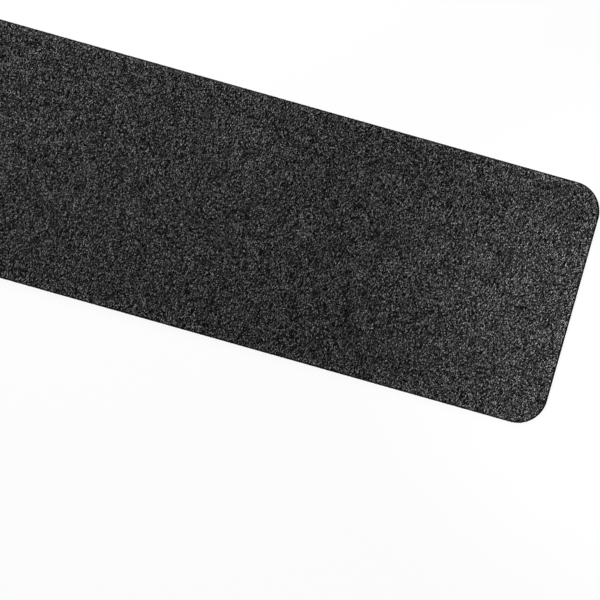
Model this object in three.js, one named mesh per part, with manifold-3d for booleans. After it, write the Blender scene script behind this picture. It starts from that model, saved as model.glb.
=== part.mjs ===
// A self-adhesive stair tread mat, in millimetres with +Z up.
// A needle-punched felt face is bonded to a white non-slip adhesive layer, and a clear release
// film still covers that layer underneath. All three are die-cut together to one outline.
// The origin is at the middle of the underside, and +X runs along the tread.
import * as THREE from 'three';
import { mergeVertices } from 'three/addons/utils/BufferGeometryUtils.js';
import Module from 'manifold-3d';

const wasm = await Module();
wasm.setup();

// Outline of the die-cut mat
const treadLength = 650;
const treadWidth = 200;
const cornerRadius = 24;
const arcDivisions = 12;

// Layers, from the underside up
const filmThickness = 0.12;
const adhesiveThickness = 0.8;
const feltThickness = 4;

// The pile of the felt rolls over at its cut top edge
const rollWidth = 1.4;
const rollHeight = 1.8;
const rollSteps = 5;

// Heights of the faces where the layers meet
const adhesiveBase = filmThickness;
const feltBase = adhesiveBase + adhesiveThickness;

const colours = {
  felt: 0x343434,
  adhesive: 0xf6f6f4,
  film: 0xe9ebec,
};

// A rectangle with round corners, centred on the origin
function matOutline() {
  const x = treadLength / 2 - cornerRadius;
  const y = treadWidth / 2 - cornerRadius;
  const quarter = Math.PI / 2;
  const outline = new THREE.Shape();
  outline.absarc(x, y, cornerRadius, 0, quarter);
  outline.absarc(-x, y, cornerRadius, quarter, 2 * quarter);
  outline.absarc(-x, -y, cornerRadius, 2 * quarter, 3 * quarter);
  outline.absarc(x, -y, cornerRadius, 3 * quarter, 4 * quarter);
  outline.closePath();
  return outline;
}

// A flat layer of the mat, standing on the given height
function flatLayer(base, thickness) {
  const layer = new THREE.ExtrudeGeometry(matOutline(), {
    depth: thickness,
    bevelEnabled: false,
    curveSegments: arcDivisions,
  });
  return layer.translate(0, 0, base);
}

function toSolid(geometry) {
  const bare = geometry.clone();
  bare.deleteAttribute('normal');
  bare.deleteAttribute('uv');
  const merged = mergeVertices(bare);
  return new wasm.Manifold(new wasm.Mesh({
    numProp: 3,
    vertProperties: merged.attributes.position.array,
    triVerts: new Uint32Array(merged.index.array),
  }));
}

function toGeometry(solid) {
  const { vertProperties, triVerts } = solid.getMesh();
  const geometry = new THREE.BufferGeometry();
  geometry.setAttribute('position', new THREE.BufferAttribute(vertProperties, 3));
  geometry.setIndex(new THREE.BufferAttribute(triVerts, 1));
  geometry.computeVertexNormals();
  return geometry;
}

// The felt has a rolled top edge and a square lower one. It is a cushion with both edges rolled,
// whose lower roll hangs below the felt and is cut off by the flat layer.
function feltGeometry() {
  const cushion = new THREE.ExtrudeGeometry(matOutline(), {
    depth: feltThickness,
    bevelThickness: rollHeight,
    bevelSize: rollWidth,
    bevelOffset: -rollWidth,
    bevelSegments: rollSteps,
    curveSegments: arcDivisions,
  });
  cushion.translate(0, 0, feltBase - rollHeight);
  return toGeometry(toSolid(cushion).intersect(toSolid(flatLayer(feltBase, feltThickness))));
}

function namedMesh(name, geometry, material) {
  const mesh = new THREE.Mesh(geometry, new THREE.MeshStandardMaterial(material));
  mesh.name = name;
  return mesh;
}

const mat = new THREE.Group();
mat.add(
  namedMesh('felt_tread', feltGeometry(), {
    color: colours.felt,
    roughness: 0.95,
    metalness: 0,
  }),
  namedMesh('adhesive_backing', flatLayer(adhesiveBase, adhesiveThickness), {
    color: colours.adhesive,
    roughness: 0.45,
    metalness: 0,
  }),
  namedMesh('release_film', flatLayer(0, filmThickness), {
    color: colours.film,
    roughness: 0.2,
    metalness: 0,
    transparent: true,
    opacity: 0.6,
  }),
);

export default mat;
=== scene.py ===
# Anti slip stair tread mat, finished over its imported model. Everything is in metres, with +Z up.
import math

import bpy
import numpy as np
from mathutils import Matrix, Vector


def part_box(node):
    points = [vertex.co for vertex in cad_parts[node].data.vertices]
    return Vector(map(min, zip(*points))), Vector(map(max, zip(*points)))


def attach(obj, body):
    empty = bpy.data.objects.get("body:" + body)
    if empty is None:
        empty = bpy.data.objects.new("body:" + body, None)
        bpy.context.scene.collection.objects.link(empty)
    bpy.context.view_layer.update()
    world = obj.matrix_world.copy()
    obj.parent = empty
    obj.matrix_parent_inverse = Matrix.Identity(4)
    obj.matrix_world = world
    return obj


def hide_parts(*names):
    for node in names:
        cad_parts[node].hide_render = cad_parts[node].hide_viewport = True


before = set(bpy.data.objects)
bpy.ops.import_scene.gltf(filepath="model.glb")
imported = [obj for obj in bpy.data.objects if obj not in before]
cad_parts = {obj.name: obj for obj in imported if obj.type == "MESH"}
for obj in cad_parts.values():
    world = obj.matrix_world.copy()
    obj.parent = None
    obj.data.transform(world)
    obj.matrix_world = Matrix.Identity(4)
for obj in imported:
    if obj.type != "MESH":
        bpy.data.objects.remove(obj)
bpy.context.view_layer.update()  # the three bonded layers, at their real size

mm = 0.001
tiny = 1e-9  # keeps a division from zero

# Where the layers lie
feltLow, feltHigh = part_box("felt_tread")
filmLow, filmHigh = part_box("release_film")
halfLength, halfWidth = feltHigh[0], feltHigh[1]
feltBase, feltTop = feltLow[2], feltHigh[2]

# How the felt was cut, from its solid: the radius of its corners, and the roll of its top edge
nearly = 0.01 * mm
feltPoints = np.array([vertex.co for vertex in bpy.data.objects["felt_tread"].data.vertices])
onLongSide = feltPoints[:, 1] > halfWidth - nearly
onEnd = feltPoints[:, 0] > halfLength - nearly
onTop = feltPoints[:, 2] > feltTop - nearly
cornerRadius = halfLength - feltPoints[onLongSide, 0].max()
rollWidth = halfLength - feltPoints[onTop, 0].max()
rollHeight = feltTop - feltPoints[onEnd, 2].max()

# The corners turn round an inner rectangle, the core
coreLength, coreWidth = halfLength - cornerRadius, halfWidth - cornerRadius
print(f"frame: mat {2e3 * halfLength:.0f} x {2e3 * halfWidth:.0f} mm, corners {1e3 * cornerRadius:.0f} mm")


# Camera, straight above the mat as in the photograph

viewFacts = {
    "picture": 600,                 # px, each way
    "matWidth": 249.2,              # px between the long edges
    "endMiddle": (572.8, 310.05),   # px, middle of the right-hand end
    "turn": 15.75,                  # degrees that the long edges fall to the right
    "lens": 85,                     # mm
    "sensor": 36,                   # mm
}


def makeCamera():
    # also gives the spot under the middle of the picture, and the picture's right and up on the floor
    perPixel = 2 * halfWidth / viewFacts["matWidth"]
    turn = math.radians(viewFacts["turn"])
    right = np.array([math.cos(turn), math.sin(turn)])
    up = np.array([-math.sin(turn), math.cos(turn)])
    across = viewFacts["endMiddle"][0] - viewFacts["picture"] / 2
    down = viewFacts["endMiddle"][1] - viewFacts["picture"] / 2
    middle = np.array([halfLength, 0]) - perPixel * (across * right - down * up)
    data = bpy.data.cameras.new("topCamera")
    data.lens = viewFacts["lens"]
    data.sensor_width = viewFacts["sensor"]
    camera = bpy.data.objects.new("topCamera", data)
    distance = perPixel * viewFacts["picture"] * viewFacts["lens"] / viewFacts["sensor"]
    camera.location = (*middle, feltTop - rollHeight + distance)
    camera.rotation_euler = (0, 0, turn)
    bpy.context.scene.collection.objects.link(camera)
    bpy.context.scene.camera = camera
    return middle, right, up


pictureMiddle, pictureRight, pictureUp = makeCamera()
print("camera: placed")


# Small helpers for colours, nodes and meshes

def linear(hexColour):
    # an sRGB hex value as the linear colour that the shader wants
    channels = [int(hexColour[i:i + 2], 16) / 255 for i in (1, 3, 5)]
    return (*[c / 12.92 if c <= 0.04045 else ((c + 0.055) / 1.055) ** 2.4 for c in channels], 1)


def newMaterial(name):
    material = bpy.data.materials.new(name)
    material.use_nodes = True
    material.node_tree.nodes.clear()
    return material


def addNode(owner, kind, inputs=None, stops=(), **settings):
    # one node of a material or the world, with its settings, its numbers and the sockets that feed
    # it. A ramp's stops are (place, hex colour), from dark to light
    node = owner.node_tree.nodes.new(kind)
    for name, value in settings.items():
        setattr(node, name, value)
    for name, value in (inputs or {}).items():
        if isinstance(value, bpy.types.NodeSocket):
            owner.node_tree.links.new(value, node.inputs[name])
        else:
            node.inputs[name].default_value = value
    if stops:
        elements = node.color_ramp.elements
        while len(elements) < len(stops):
            elements.new(0.5)
        for element, (place, hexColour) in zip(elements, stops):
            element.position = place
            element.color = linear(hexColour)
    return node


def noiseScale(size):
    # a noise whose lumps are about this many metres across
    return 1 / size


def newPiece(name, points, faces, material, smooth=True):
    # faces is a list of arrays, each of them faces with one number of corners
    mesh = bpy.data.meshes.new(name)
    corners = np.concatenate([group.ravel() for group in faces]).astype(np.int32)
    counts = np.concatenate([np.full(len(group), group.shape[1]) for group in faces])
    starts = np.concatenate([[0], np.cumsum(counts)[:-1]]).astype(np.int32)
    mesh.vertices.add(len(points))
    mesh.vertices.foreach_set("co", np.asarray(points, np.float32).ravel())
    mesh.loops.add(len(corners))
    mesh.loops.foreach_set("vertex_index", corners)
    mesh.polygons.add(len(counts))
    mesh.polygons.foreach_set("loop_start", starts)
    mesh.update(calc_edges=True)
    mesh.validate()
    mesh.polygons.foreach_set("use_smooth", np.full(len(mesh.polygons), smooth))
    mesh.materials.append(material)
    piece = bpy.data.objects.new(name, mesh)
    bpy.context.scene.collection.objects.link(piece)
    return piece


# The die-cut outline, and grids of points that fill it

def nearestCore(x, y):
    return np.clip(x, -coreLength, coreLength), np.clip(y, -coreWidth, coreWidth)


def insideCut(x, y):
    # how far a point lies inside the cut
    coreX, coreY = nearestCore(x, y)
    return cornerRadius - np.hypot(x - coreX, y - coreY)


def wayOut(x, y):
    # the way straight out to the cut, as a unit vector that is nought over the core
    coreX, coreY = nearestCore(x, y)
    reach = np.maximum(np.hypot(x - coreX, y - coreY), tiny)
    return (x - coreX) / reach, (y - coreY) / reach


def keepInside(x, y, margin):
    # moves points that are too near the cut back inside it
    coreX, coreY = nearestCore(x, y)
    reach = np.maximum(np.hypot(x - coreX, y - coreY), tiny)
    share = np.minimum(1, (cornerRadius - margin) / reach)
    return coreX + (x - coreX) * share, coreY + (y - coreY) * share


def softNoise(x, y, cell, seed):
    # smooth random values from -1 to 1, on a lattice of this cell that repeats past the mat
    columns, rows = int(2 * halfLength / cell) + 3, int(2 * halfWidth / cell) + 3
    lattice = np.random.default_rng(seed).uniform(-1, 1, (columns, rows))
    cellX, cellY = (x + halfLength) / cell, (y + halfWidth) / cell
    left, low = np.floor(cellX).astype(int), np.floor(cellY).astype(int)
    shareX, shareY = cellX - left, cellY - low
    shareX, shareY = shareX * shareX * (3 - 2 * shareX), shareY * shareY * (3 - 2 * shareY)
    left, right = left % columns, (left + 1) % columns
    low, high = low % rows, (low + 1) % rows
    below = lattice[left, low] * (1 - shareX) + lattice[right, low] * shareX
    above = lattice[left, high] * (1 - shareX) + lattice[right, high] * shareX
    return below * (1 - shareY) + above * shareY


def gridRows(inset, step):
    # rows of the outline drawn this far inside the cut: each row's y and half its length
    radius = cornerRadius - inset
    cornerRows = max(3, round(radius * math.pi / 2 / step))
    turn = np.linspace(0, math.pi / 2, cornerRows + 1)
    straightRows = np.linspace(-coreWidth, coreWidth, max(2, round(2 * coreWidth / step)) + 1)
    lowY = -coreWidth - radius * np.cos(turn)
    lowHalf = coreLength + radius * np.sin(turn)
    middleHalf = np.full(len(straightRows) - 2, coreLength + radius)
    y = np.concatenate([lowY, straightRows[1:-1], -lowY[::-1]])
    half = np.concatenate([lowHalf, middleHalf, lowHalf[::-1]])
    return y, half


def gridFaces(index):
    # a grid's faces, looking up, and its edge points counter-clockwise
    corners = [index[:-1, :-1], index[:-1, 1:], index[1:, 1:], index[1:, :-1]]
    rim = np.concatenate([index[0, :-1], index[:-1, -1], index[-1, :0:-1], index[:0:-1, 0]])
    return np.stack(corners, -1).reshape(-1, 4), rim


# Felt face: staple fibre needled through a mat, so its top is a low, uneven pile

feltFacts = {
    "step": 1.6 * mm,                   # spacing of the surface's points
    "depth": 0.70 * mm,                 # the matted body lies this far under the fibre tips
    "lump": (3.2 * mm, 0.16 * mm, 11),  # size, height and seed of the needled lumps
    "swell": (17 * mm, 0.10 * mm, 12),  # the same for the slow unevenness
    "evened": 0.6,                      # share of both that the rolled edge loses
    "shoulder": (5.0 * mm, 0.85 * mm),  # width and fall of the slack pile beside the cut
    "rollSteps": 5,                     # rings of points over the rolled edge
    "wallSteps": 3,                     # and down the wall
    "cut": (1.2 * mm, 2.1 * mm),        # painted shade is full up to here from the cut, and gone from there, for the rolled edge in shade
    "sideRimShade": 0.31,                    # share of that painted shade along the long sides; the ends take all of it
    "footRimShade": 0.3,                     # and at the foot of the wall, rising to all of it at the top of the wall
    "rimShadeTone": "#676767",               # painted shade: the tone at the cut is multiplied by this
    "ior": 1.49,
    "roughness": 0.9,
    "shine": 0.02,                      # specular level: most of the shine is lost among the fibres
    "tuft": 0.75 * mm,                  # one matted tuft, across the pile
    "lay": (80, 1.8),                   # degrees that tufts lie at, and how much longer they are that way
    "strand": 0.35 * mm,                # drawn coarser than a real 0.05 mm fibre, so that it shows
    "strandShare": 0.25,                # share of the tone that the strands give, beside the tufts
    "relief": (0.8, 0.5 * mm),          # strength and height of the bump
    # from the gaps to the tops of the tufts: the dyed mix, and the same value raises the bump, so the
    # near-black low end is partly painted shade
    "tones": [(0.36, "#000000"), (0.46, "#040404"), (0.55, "#272727"), (0.66, "#7c7c7c")],
}

wallTop = feltTop - feltFacts["depth"] - rollHeight  # where the roll ends and the cut wall starts


def feltHeight(x, y):
    inset = insideCut(x, y)
    over = np.clip(1 - inset / rollWidth, 0, 1)  # from 0, where the roll starts, to 1 at the cut
    fall = rollHeight * (1 - np.sqrt(1 - over * over))
    width, slack = feltFacts["shoulder"]
    fall += slack * np.clip(1 - inset / width, 0, 1) ** 2 * (1 - over)
    relief = np.zeros_like(fall)
    for size, height, seed in (feltFacts["lump"], feltFacts["swell"]):
        relief += height * softNoise(x, y, size, seed)
    return feltTop - feltFacts["depth"] - fall + relief * (1 - feltFacts["evened"] * over)


def feltPiece(name, points, faces, material):
    # a piece of felt, which also keeps how much painted shade at the cut each of its points takes
    piece = newPiece(name, points, faces, material)
    x, y, z = points.T
    outX, outY = wayOut(x, y)
    dark, clear = feltFacts["cut"]
    side, foot = feltFacts["sideRimShade"], feltFacts["footRimShade"]
    share = side + (1 - side) * np.abs(outX) ** 2
    share *= foot + (1 - foot) * np.clip((z - feltBase) / (wallTop - feltBase), 0, 1)
    share *= np.clip((clear - insideCut(x, y)) / (clear - dark), 0, 1)
    attribute = piece.data.attributes.new("rimShadeShare", "FLOAT", "POINT")
    attribute.data.foreach_set("value", share.astype(np.float32))
    return piece


def makeFeltBody(material):
    rowY, rowHalf = gridRows(rollWidth, feltFacts["step"])
    columns = round(2 * halfLength / feltFacts["step"]) + 1
    x = rowHalf[:, None] * np.linspace(-1, 1, columns)
    y = np.repeat(rowY[:, None], columns, 1)
    top = np.stack([x, y, feltHeight(x, y)], -1).reshape(-1, 3)
    face, rim = gridFaces(np.arange(x.size).reshape(x.shape))

    # rings of points over the rolled edge, then down the cut wall
    coreX, coreY = nearestCore(top[rim, 0], top[rim, 1])
    outX, outY = wayOut(top[rim, 0], top[rim, 1])
    rings = []
    for step in range(1, feltFacts["rollSteps"] + 1):
        radius = cornerRadius - rollWidth * (1 - math.sin(step / feltFacts["rollSteps"] * math.pi / 2))
        ringX, ringY = coreX + outX * radius, coreY + outY * radius
        rings.append(np.stack([ringX, ringY, feltHeight(ringX, ringY)], -1))
    for step in range(1, feltFacts["wallSteps"] + 1):
        height = wallTop + (feltBase - wallTop) * step / feltFacts["wallSteps"]
        ringX, ringY = coreX + outX * cornerRadius, coreY + outY * cornerRadius
        rings.append(np.stack([ringX, ringY, np.full(len(rim), height)], -1))

    quads, last = [face], rim
    for number in range(len(rings)):
        ring = len(top) + number * len(rim) + np.arange(len(rim))
        quads.append(np.stack([last, ring, np.roll(ring, -1), np.roll(last, -1)], -1))
        last = ring
    faces = [np.concatenate(quads), last[::-1][None, :]]  # and the underside, as one face
    return feltPiece("felt_body", np.concatenate([top, *rings]), faces, material)


# Loose fibre ends and loops on the felt, sorted by shade, because the felt is made from a dyed mix

fibreFacts = {
    "onTop": 31400,                     # of each shade
    "length": (1.3 * mm, 2.9 * mm),
    "radius": (0.20 * mm, 0.30 * mm),   # coarser than a real fibre, 0.05 mm thick, so that it shows
    "sides": 3,                         # round each fibre
    "segments": 2,                      # along it
    "curl": 0.7,                        # radians that a fibre turns, as a standard deviation
    "lay": (80, 18, 0.78),              # degrees from the mat's length, spread, and share that lies so
    "dip": 0.25 * mm,                   # the ends sink this far into the felt
    "lift": (0.05 * mm, 0.42 * mm),     # the middles stand this far out of it
    "lean": 0.8,                        # how far the pile leans out at the cut
    "tries": 4,                         # places tried for each fibre
    "likely": 0.45,                     # chance that a place is taken
    "patch": (9 * mm, 0.19),            # size and strength of the patches where a shade gathers
    "patchSeed": 50,                    # the patches' seeds follow this one, a shade at a time
    "shoulderHighlightBand": (1.2 * mm, 4.6 * mm),    # between these, inside the cut, more grey and pale fibres: a painted highlight on the shoulder
    "rimStep": 1 * mm,                  # spacing of the points of the line round the wall
    "wallLength": 0.7,                  # times the length of the fibres on top
    "wallTilt": 0.5,                    # radians off level, as a standard deviation
    "wallDip": 0.12 * mm,               # the ends sink this far into the wall
    "wallLift": (0.02 * mm, 0.10 * mm),     # the middles stand this much further out
    "wallRise": 0.3 * mm,               # how far one may reach above the wall
    "tuftRange": (0.405, 0.595),        # tuft values that are drawn as darkest and lightest
    "ownShare": 0.4,                    # share of the tone that is the fibre's own, beside the tufts
    "tonePlaces": (0.1, 0.9),           # of a shade's two tones on its ramp
    # a shade's tones, how many fibres lie on the wall, how far inside the cut the others are kept (paler
    # ones further, which leaves a painted dark rim), and how much likelier they are in the band of painted
    # highlight beside the cut
    "shades": {
        "black": {"tones": ("#000000", "#161616"), "onWall": 900, "edge": 0.3 * mm, "shoulderHighlightBoost": -0.2},
        "charcoal": {"tones": ("#010101", "#373737"), "onWall": 800, "edge": 0.4 * mm, "shoulderHighlightBoost": 0.0},
        "grey": {"tones": ("#040404", "#888888"), "onWall": 400, "edge": 0.7 * mm, "shoulderHighlightBoost": 0.22},
        "pale": {"tones": ("#0d0d0d", "#e2e2e2"), "onWall": 150, "edge": 0.9 * mm, "shoulderHighlightBoost": 0.38},
    },
}


def tubes(spine, tangent, outward, radius):
    # closed strands along many spines at once, pointed at both ends: spine is (fibre, ring, xyz)
    count, rings = spine.shape[0], spine.shape[1] - 2
    sides = fibreFacts["sides"]
    around = math.pi / 2 + np.arange(sides) * 2 * math.pi / sides
    sideways = np.cross(outward, tangent)[:, 1:-1, None]
    upward = outward[:, 1:-1, None]
    section = sideways * np.cos(around)[:, None] + upward * np.sin(around)[:, None]
    ringPoints = spine[:, 1:-1, None] + radius[:, None, None, None] * section
    points = np.concatenate([ringPoints.reshape(count, -1, 3), spine[:, [0, -1]]], 1)
    first = np.arange(count)[:, None, None] * points.shape[1]
    ring = first + np.arange(rings * sides).reshape(1, rings, sides)
    here, there = ring[:, :-1], ring[:, 1:]
    walls = np.stack([here, np.roll(here, -1, 2), np.roll(there, -1, 2), there], -1).reshape(-1, 4)
    start = np.broadcast_to(first[:, 0] + rings * sides, (count, sides))
    end = start + 1
    opening, closing = ring[:, 0], ring[:, -1]
    tips = np.concatenate([
        np.stack([start, np.roll(opening, -1, 1), opening], -1),
        np.stack([end, closing, np.roll(closing, -1, 1)], -1),
    ]).reshape(-1, 3)
    return points.reshape(-1, 3), walls, tips


def scatter(rng, shade, patchSeed):
    # the middles of one shade's fibres: in loose patches, and not too near the cut
    count, tries = fibreFacts["onTop"], fibreFacts["tries"] * fibreFacts["onTop"]
    size, strength = fibreFacts["patch"]
    near, far = fibreFacts["shoulderHighlightBand"]
    shoulderHighlightBoost = fibreFacts["shades"][shade]["shoulderHighlightBoost"]
    quarter = fibreFacts["length"][0] / 4  # of the shortest fibre
    # paler shades are kept further from the cut, which leaves the rim dark as painted shade
    margin = fibreFacts["shades"][shade]["edge"] + quarter
    x, y = np.empty(0), np.empty(0)
    while len(x) < count:
        tryX = rng.uniform(-halfLength, halfLength, tries)
        tryY = rng.uniform(-halfWidth, halfWidth, tries)
        inset = insideCut(tryX, tryY)
        likely = fibreFacts["likely"] + strength * softNoise(tryX, tryY, size, patchSeed)
        # painted highlight: more grey and pale fibres in the band beside the cut, fewer black ones
        likely += shoulderHighlightBoost * ((inset > near) & (inset < far))
        keep = (inset > margin) & (rng.uniform(0, 1, tries) < likely)
        x, y = np.append(x, tryX[keep]), np.append(y, tryY[keep])
    return x[:count], y[:count]


def topFibres(rng, shade, patchSeed):
    count, segments, dip = fibreFacts["onTop"], fibreFacts["segments"], fibreFacts["dip"]
    x, y = scatter(rng, shade, patchSeed)
    lay, spread, layShare = fibreFacts["lay"]
    laid = np.radians(rng.normal(lay, spread, count))
    isLaid = rng.uniform(0, 1, count) < layShare
    heading = np.where(isLaid, laid, rng.uniform(0, 2 * math.pi, count))[:, None]
    curl = rng.normal(0, fibreFacts["curl"], count)[:, None]
    length = rng.uniform(*fibreFacts["length"], count)[:, None]

    # a fibre turns as it goes along, and its middle stays where it was scattered
    place = np.linspace(-0.5, 0.5, segments + 1)
    turned = heading + curl * (place[1:] + place[:-1]) / 2
    start = np.zeros((count, 1))
    alongX = np.concatenate([start, np.cumsum(np.cos(turned), 1)], 1) * length / segments
    alongY = np.concatenate([start, np.cumsum(np.sin(turned), 1)], 1) * length / segments
    spineX = x[:, None] + alongX - alongX.mean(1, keepdims=True)
    spineY = y[:, None] + alongY - alongY.mean(1, keepdims=True)
    spineX, spineY = keepInside(spineX, spineY, fibreFacts["shades"][shade]["edge"])

    # its middle arches out of the felt, its ends are in it, and at the cut it leans out
    lift = rng.uniform(*fibreFacts["lift"], count)[:, None]
    spineZ = feltHeight(spineX, spineY) + (lift + dip) * (1 - (2 * place) ** 2) - dip
    heads = heading + curl * place
    tangent = np.stack([np.cos(heads), np.sin(heads), np.zeros_like(heads)], -1)
    outX, outY = wayOut(spineX, spineY)
    lean = fibreFacts["lean"] * np.clip(1 - insideCut(spineX, spineY) / rollWidth, 0, 1)
    outward = np.stack([outX * lean, outY * lean, np.ones_like(lean)], -1)
    outward /= np.linalg.norm(outward, axis=-1, keepdims=True)
    radius = rng.uniform(*fibreFacts["radius"], count)
    return np.stack([spineX, spineY, spineZ], -1), tangent, outward, radius


def wallFibres(rng, shade):
    # shorter ones, which lie along the cut wall
    count = fibreFacts["shades"][shade]["onWall"]
    rowY, rowHalf = gridRows(0, fibreFacts["rimStep"])
    loopX = np.concatenate([rowHalf, -rowHalf[::-1], rowHalf[:1]])
    loopY = np.concatenate([rowY, rowY[::-1], rowY[:1]])
    travelled = np.concatenate([[0], np.cumsum(np.hypot(np.diff(loopX), np.diff(loopY)))])
    place = np.linspace(-0.5, 0.5, fibreFacts["segments"] + 1)
    tilt = rng.normal(0, fibreFacts["wallTilt"], count)[:, None]
    length = rng.uniform(*fibreFacts["length"], count)[:, None] * fibreFacts["wallLength"]
    at = rng.uniform(0, travelled[-1], count)[:, None] + place * length * np.cos(tilt)
    at = at % travelled[-1]
    x, y = np.interp(at, travelled, loopX), np.interp(at, travelled, loopY)
    coreX, coreY = nearestCore(x, y)
    outX, outY = wayOut(x, y)
    lift = rng.uniform(*fibreFacts["wallLift"], count)[:, None]
    out = cornerRadius - fibreFacts["wallDip"] + lift * (1 - (2 * place) ** 2)
    low = feltBase + fibreFacts["radius"][1]
    z = rng.uniform(low, wallTop, count)[:, None] + place * length * np.sin(tilt)
    z = np.clip(z, low, wallTop + fibreFacts["wallRise"])
    rise = np.broadcast_to(np.sin(tilt), outX.shape)
    tangent = np.stack([-outY * np.cos(tilt), outX * np.cos(tilt), rise], -1)
    outward = np.stack([outX, outY, np.zeros_like(outX)], -1)
    radius = rng.uniform(*fibreFacts["radius"], count)
    return np.stack([coreX + outX * out, coreY + outY * out, z], -1), tangent, outward, radius


def makeFibres(shade, seed, material):
    rng = np.random.default_rng(seed)
    groups = [topFibres(rng, shade, fibreFacts["patchSeed"] + seed), wallFibres(rng, shade)]
    spine, tangent, outward, radius = (np.concatenate(parts) for parts in zip(*groups))
    points, walls, tips = tubes(spine, tangent, outward, radius)
    return feltPiece(f"felt_fibres_{shade}", points, [walls, tips], material)


def tuftTones(material):
    # the light and dark tufts, alike on the felt's body and on its fibres, and the place they use
    place = addNode(material, "ShaderNodeTexCoord").outputs["Object"]
    lay, longer = feltFacts["lay"]
    laid = addNode(material, "ShaderNodeMapping", {
        "Vector": place, "Rotation": (0, 0, math.radians(lay)), "Scale": (longer, 1, 1),
    }, vector_type="TEXTURE").outputs["Vector"]
    tufts = addNode(material, "ShaderNodeTexNoise", {
        "Vector": laid, "Scale": noiseScale(feltFacts["tuft"]), "Detail": 1, "Distortion": 0.4,
    }).outputs["Fac"]
    return tufts, laid


def paintRimShade(material, tone):
    # paints shade on the rolled edge and the cut wall, darker at the ends: the tone times the shade tone,
    # by the share kept at each point
    # the mix node has an A and a B for every kind of value, and 6 and 7 are those of colours
    cut = addNode(material, "ShaderNodeAttribute", attribute_name="rimShadeShare").outputs["Fac"]
    sockets = {0: cut, 6: tone, 7: linear(feltFacts["rimShadeTone"])}
    return addNode(material, "ShaderNodeMix", sockets, data_type="RGBA", blend_type="MULTIPLY").outputs[2]


# Needle-punched polypropylene felt: dyed staple, carded and then matted by barbed needles. It is
# matt all over, in tufts that lie across the mat; its low gaps are nearly black, partly the dyed mix and
# partly painted shade
def feltMaterial():
    material = newMaterial("needlePunchFelt")
    tufts, laid = tuftTones(material)
    strands = addNode(material, "ShaderNodeTexNoise", {
        "Vector": laid, "Scale": noiseScale(feltFacts["strand"]), "Detail": 1, "Distortion": 1.5,
    }).outputs["Fac"]
    mixed = addNode(material, "ShaderNodeMix", {
        "Factor": feltFacts["strandShare"], "A": tufts, "B": strands,
    }).outputs["Result"]
    # painted shade: the value that raises the bump also picks the tone, so the tone is darkest where the
    # pile lies lowest
    tone = addNode(material, "ShaderNodeValToRGB", {"Fac": mixed}, stops=feltFacts["tones"])
    strength, height = feltFacts["relief"]
    relief = addNode(material, "ShaderNodeBump", {
        "Height": mixed, "Strength": strength, "Distance": height,
    })
    shader = addNode(material, "ShaderNodeBsdfPrincipled", {
        "Base Color": paintRimShade(material, tone.outputs["Color"]), "Normal": relief.outputs["Normal"],
        "Roughness": feltFacts["roughness"], "IOR": feltFacts["ior"],
        "Specular IOR Level": feltFacts["shine"],
    })
    addNode(material, "ShaderNodeOutputMaterial", {"Surface": shader.outputs["BSDF"]})
    return material


# Polypropylene staple, spun from a dyed melt: the same matt shade right through, a little lighter
# or darker from one fibre to the next, which gives the pepper-and-salt look
def fibreMaterial(shade):
    material = newMaterial(f"dyedFibre_{shade}")
    tufts, _ = tuftTones(material)
    lowest, highest = fibreFacts["tuftRange"]
    stretched = addNode(material, "ShaderNodeMapRange", {
        "Value": tufts, "From Min": lowest, "From Max": highest,
    }).outputs["Result"]
    island = addNode(material, "ShaderNodeNewGeometry").outputs["Random Per Island"]
    mixed = addNode(material, "ShaderNodeMix", {
        "Factor": fibreFacts["ownShare"], "A": stretched, "B": island,
    }).outputs["Result"]
    stops = list(zip(fibreFacts["tonePlaces"], fibreFacts["shades"][shade]["tones"]))
    tone = addNode(material, "ShaderNodeValToRGB", {"Fac": mixed}, stops=stops)
    shader = addNode(material, "ShaderNodeBsdfPrincipled", {
        "Base Color": paintRimShade(material, tone.outputs["Color"]),
        "Roughness": feltFacts["roughness"], "IOR": feltFacts["ior"],
        "Specular IOR Level": feltFacts["shine"],
    })
    addNode(material, "ShaderNodeOutputMaterial", {"Surface": shader.outputs["BSDF"]})
    return material


feltBody = makeFeltBody(feltMaterial())
fibrePieces = [
    makeFibres(shade, seed, fibreMaterial(shade))
    for seed, shade in enumerate(fibreFacts["shades"], start=1)
]
for piece in [feltBody, *fibrePieces]:
    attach(piece, "root")
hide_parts("felt_tread")
print("felt: body and", sum(len(piece.data.polygons) for piece in fibrePieces), "fibre faces")


# Adhesive layer: the solid itself, with a coat of its own

adhesiveFacts = {
    "ior": 1.47,
    "roughness": 0.38,
    "cloud": 9 * mm,                        # size of the thicker and thinner spots of the coat
    "tones": [(0.3, "#eeeeec"), (0.7, "#f8f8f6")],
    "peel": (0.9 * mm, 0.3, 0.08 * mm),     # size, strength and height of the orange peel
}


# White acrylic adhesive, coated on with a roller: a smooth satin white with a faint orange peel
def adhesiveMaterial():
    material = newMaterial("acrylicAdhesive")
    place = addNode(material, "ShaderNodeTexCoord").outputs["Object"]
    size, strength, height = adhesiveFacts["peel"]
    cloud = addNode(material, "ShaderNodeTexNoise", {
        "Vector": place, "Scale": noiseScale(adhesiveFacts["cloud"]), "Detail": 3,
    }).outputs["Fac"]
    peel = addNode(material, "ShaderNodeTexNoise", {
        "Vector": place, "Scale": noiseScale(size), "Detail": 1,
    }).outputs["Fac"]
    tone = addNode(material, "ShaderNodeValToRGB", {"Fac": cloud}, stops=adhesiveFacts["tones"])
    relief = addNode(material, "ShaderNodeBump", {
        "Height": peel, "Strength": strength, "Distance": height,
    })
    shader = addNode(material, "ShaderNodeBsdfPrincipled", {
        "Base Color": tone.outputs["Color"], "Normal": relief.outputs["Normal"],
        "Roughness": adhesiveFacts["roughness"], "IOR": adhesiveFacts["ior"],
    })
    addNode(material, "ShaderNodeOutputMaterial", {"Surface": shader.outputs["BSDF"]})
    return material


bpy.data.objects["adhesive_backing"].material_slots[0].material = adhesiveMaterial()
print("adhesive: coated")


# Release film, with a band of creases across it

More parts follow.
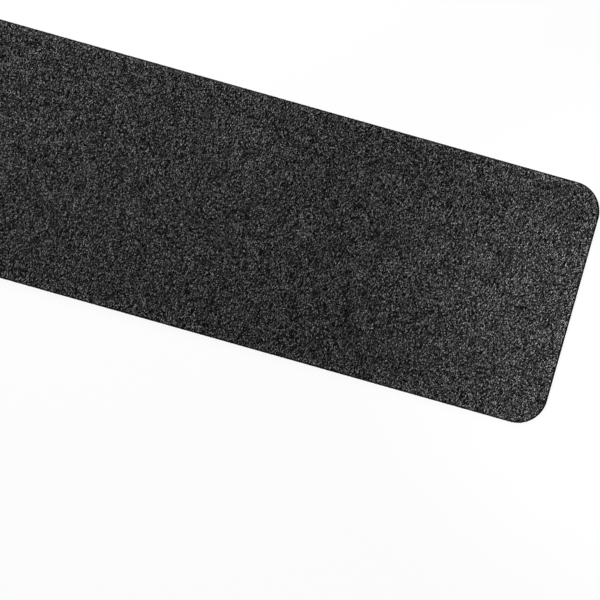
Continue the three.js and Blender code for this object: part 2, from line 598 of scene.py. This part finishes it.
filmFacts = {
    "gap": 0.02 * mm,                   # air between film and adhesive, also where it isn't creased
    "band": (105 * mm, 222 * mm),       # the creases lie between these places, from the mat's middle
    "bandRise": 1.6,                    # how soon they reach their full height inside the band
    "fine": 0.9 * mm,                   # steps between the film's points in the band
    "coarse": 12 * mm,                  # and beside it
    "rowStep": 2.4 * mm,
    "crease": 0.45 * mm,                # how far a crease stands off the adhesive
    "ridge": (2.5 * mm, 6, 32),         # half the creases' spacing, how much longer they are, and seed
    "wrinkle": (1.6 * mm, 4, 33),       # the same for the fine ones between them
    "wrinkleShare": 0.4,                # height of a fine one, beside a crease
    "flat": 0.12,                       # share of a crease that stays down
    "wander": (5 * mm, 24 * mm, 31),    # how far a crease drifts off its line, over what length, and seed
    "rim": 4 * mm,                      # the creases die out this near the cut
    "ior": 1.51,
    "roughness": 0.14,
    "alpha": 0.5,
    "haze": 14 * mm,                    # size of its cloudier spots
    "tones": [(0.3, "#dfe2e3"), (0.7, "#eff1f2")],
    "ripple": (2.2 * mm, 0.25, 0.1 * mm),   # size, strength and height of the slight waves
}


def creaseHeight(x, y):
    start, end = filmFacts["band"]
    drift, over, driftSeed = filmFacts["wander"]
    size, longer, seed = filmFacts["ridge"]
    fineSize, fineLonger, fineSeed = filmFacts["wrinkle"]
    x = x + drift * softNoise(x, y, over, driftSeed)
    wrinkles = filmFacts["wrinkleShare"] * softNoise(x, y / fineLonger, fineSize, fineSeed)
    ridges = softNoise(x, y / longer, size, seed) + wrinkles
    middle, half = (start + end) / 2, (end - start) / 2
    fade = np.clip(filmFacts["bandRise"] * (1 - np.abs(x - middle) / half), 0, 1)
    rim = np.clip(insideCut(x, y) / filmFacts["rim"], 0, 1)
    return filmFacts["crease"] * np.clip(ridges - filmFacts["flat"], 0, 1) * fade * rim


def makeFilm(material):
    # its points lie close together only in the band of creases
    start, end = filmFacts["band"]
    fine, coarse = filmFacts["fine"], filmFacts["coarse"]
    rowY, rowHalf = gridRows(0, filmFacts["rowStep"])
    left = np.linspace(-halfLength, start, round((start + halfLength) / coarse) + 1)
    band = np.linspace(start, end, round((end - start) / fine) + 1)
    right = np.linspace(end, halfLength, round((halfLength - end) / coarse) + 1)
    share = np.concatenate([left[:-1], band, right[1:]]) / halfLength
    x, y = rowHalf[:, None] * share, np.repeat(rowY[:, None], len(share), 1)
    sag = creaseHeight(x, y)
    upper = np.stack([x, y, filmHigh[2] - filmFacts["gap"] - sag], -1).reshape(-1, 3)
    lower = np.stack([x, y, filmLow[2] - sag], -1).reshape(-1, 3)
    quads, rim = gridFaces(np.arange(x.size).reshape(x.shape))
    side = np.stack([rim, rim + x.size, np.roll(rim, -1) + x.size, np.roll(rim, -1)], -1)
    faces = [quads, quads[:, ::-1] + x.size, side]
    return newPiece("creased_film", np.concatenate([upper, lower]), faces, material)


# Clear polyethylene film, blown and then laid on by a roller: glossy and half see-through, with a
# slight haze and low waves that break up its reflections
def filmMaterial():
    material = newMaterial("clearPolyethylene")
    place = addNode(material, "ShaderNodeTexCoord").outputs["Object"]
    size, strength, height = filmFacts["ripple"]
    haze = addNode(material, "ShaderNodeTexNoise", {
        "Vector": place, "Scale": noiseScale(filmFacts["haze"]), "Detail": 3,
    }).outputs["Fac"]
    ripple = addNode(material, "ShaderNodeTexNoise", {
        "Vector": place, "Scale": noiseScale(size), "Detail": 1,
    }).outputs["Fac"]
    tone = addNode(material, "ShaderNodeValToRGB", {"Fac": haze}, stops=filmFacts["tones"])
    relief = addNode(material, "ShaderNodeBump", {
        "Height": ripple, "Strength": strength, "Distance": height,
    })
    shader = addNode(material, "ShaderNodeBsdfPrincipled", {
        "Base Color": tone.outputs["Color"], "Normal": relief.outputs["Normal"],
        "Roughness": filmFacts["roughness"], "IOR": filmFacts["ior"], "Alpha": filmFacts["alpha"],
    })
    addNode(material, "ShaderNodeOutputMaterial", {"Surface": shader.outputs["BSDF"]})
    return material


film = makeFilm(filmMaterial())
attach(film, "root")
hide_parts("release_film")
print("film: creased")


# Studio: a white floor and soft light, with a little more of it over the right-hand end

studio = {
    "floorSize": 12.0,
    "floorGap": 0.05 * mm,
    "floorTone": "#f4f4f4",
    "floorGlow": 0.93,                  # share of plain white that the camera sees in the floor
    "white": "#ffffff",
    "worldLevel": 0.35,
    "keyPlace": (-0.26, 0.72, 0.46),    # from the picture's middle: right, up and height
    "keySize": 0.45,
    "keyPower": 7.1,
    "endPlace": (-0.30, 0.10, 0.58),    # from the middle of the right-hand end
    "endAim": (0.12, -0.02, 0.0),
    "endSpread": 30,                    # degrees
    "endBlend": 1,                      # its light fades all the way from its middle
    "endRadius": 0.15,                  # a broad lamp, for soft shadows
    "endPower": 49.0,
}


def seenDirectly(owner):
    # 1 for what the camera sees, also in a reflection or through a clear layer
    path = addNode(owner, "ShaderNodeLightPath")
    seen = path.outputs["Is Camera Ray"]
    for way in ("Is Glossy Ray", "Is Transmission Ray"):
        either = {0: seen, 1: path.outputs[way]}
        seen = addNode(owner, "ShaderNodeMath", either, operation="MAXIMUM").outputs[0]
    return seen


# White background paper, calendered: an even matt white. Most of what the camera sees of it is
# plain white, and the rest takes the mat's shadow
def floorMaterial():
    material = newMaterial("whitePaper")
    share = addNode(material, "ShaderNodeMath", {
        0: seenDirectly(material), 1: studio["floorGlow"],
    }, operation="MULTIPLY").outputs[0]
    paper = addNode(material, "ShaderNodeBsdfDiffuse", {"Color": linear(studio["floorTone"])})
    white = addNode(material, "ShaderNodeEmission", {"Color": linear(studio["white"]), "Strength": 1})
    mixed = addNode(material, "ShaderNodeMixShader", {0: share, 1: paper.outputs[0], 2: white.outputs[0]})
    addNode(material, "ShaderNodeOutputMaterial", {"Surface": mixed.outputs[0]})
    return material


def makeFloor():
    half = studio["floorSize"] / 2
    level = filmLow[2] - filmFacts["crease"] - studio["floorGap"]
    corners = [(-half, -half), (half, -half), (half, half), (-half, half)]
    points = np.array([(x, y, level) for x, y in corners])
    square = np.array([[0, 1, 2, 3]])
    newPiece("studio_floor", points, [square], floorMaterial(), smooth=False)


def makeWorld():
    world = bpy.data.worlds.new("studioWorld")
    world.use_nodes = True
    world.node_tree.nodes.clear()
    white = linear(studio["white"])
    soft = addNode(world, "ShaderNodeBackground", {"Color": white, "Strength": studio["worldLevel"]})
    backdrop = addNode(world, "ShaderNodeBackground", {"Color": white, "Strength": 1})
    mixed = addNode(world, "ShaderNodeMixShader", {
        0: seenDirectly(world), 1: soft.outputs[0], 2: backdrop.outputs[0],
    })
    addNode(world, "ShaderNodeOutputWorld", {"Surface": mixed.outputs[0]})
    bpy.context.scene.world = world


def makeLamp(name, kind, place, aim, power, **settings):
    data = bpy.data.lights.new(name, kind)
    data.energy = power
    for key, value in settings.items():
        setattr(data, key, value)
    lamp = bpy.data.objects.new(name, data)
    lamp.location = place
    lamp.rotation_euler = (Vector(aim) - Vector(place)).to_track_quat("-Z", "Y").to_euler()
    lamp.visible_camera = False
    bpy.context.scene.collection.objects.link(lamp)


def makeLamps():
    across, along, height = studio["keyPlace"]
    keySpot = pictureMiddle + pictureRight * across + pictureUp * along
    makeLamp(
        "keyLamp", "AREA", (*keySpot, height), (*pictureMiddle, 0), studio["keyPower"],
        size=studio["keySize"],
    )
    end = Vector((halfLength, 0, 0))
    makeLamp(
        "endLamp", "SPOT", end + Vector(studio["endPlace"]), end + Vector(studio["endAim"]),
        studio["endPower"], spot_size=math.radians(studio["endSpread"]),
        spot_blend=studio["endBlend"], shadow_soft_size=studio["endRadius"],
    )


makeFloor()
makeWorld()
makeLamps()
bpy.context.scene.view_settings.view_transform = "Standard"
print("studio: lit")
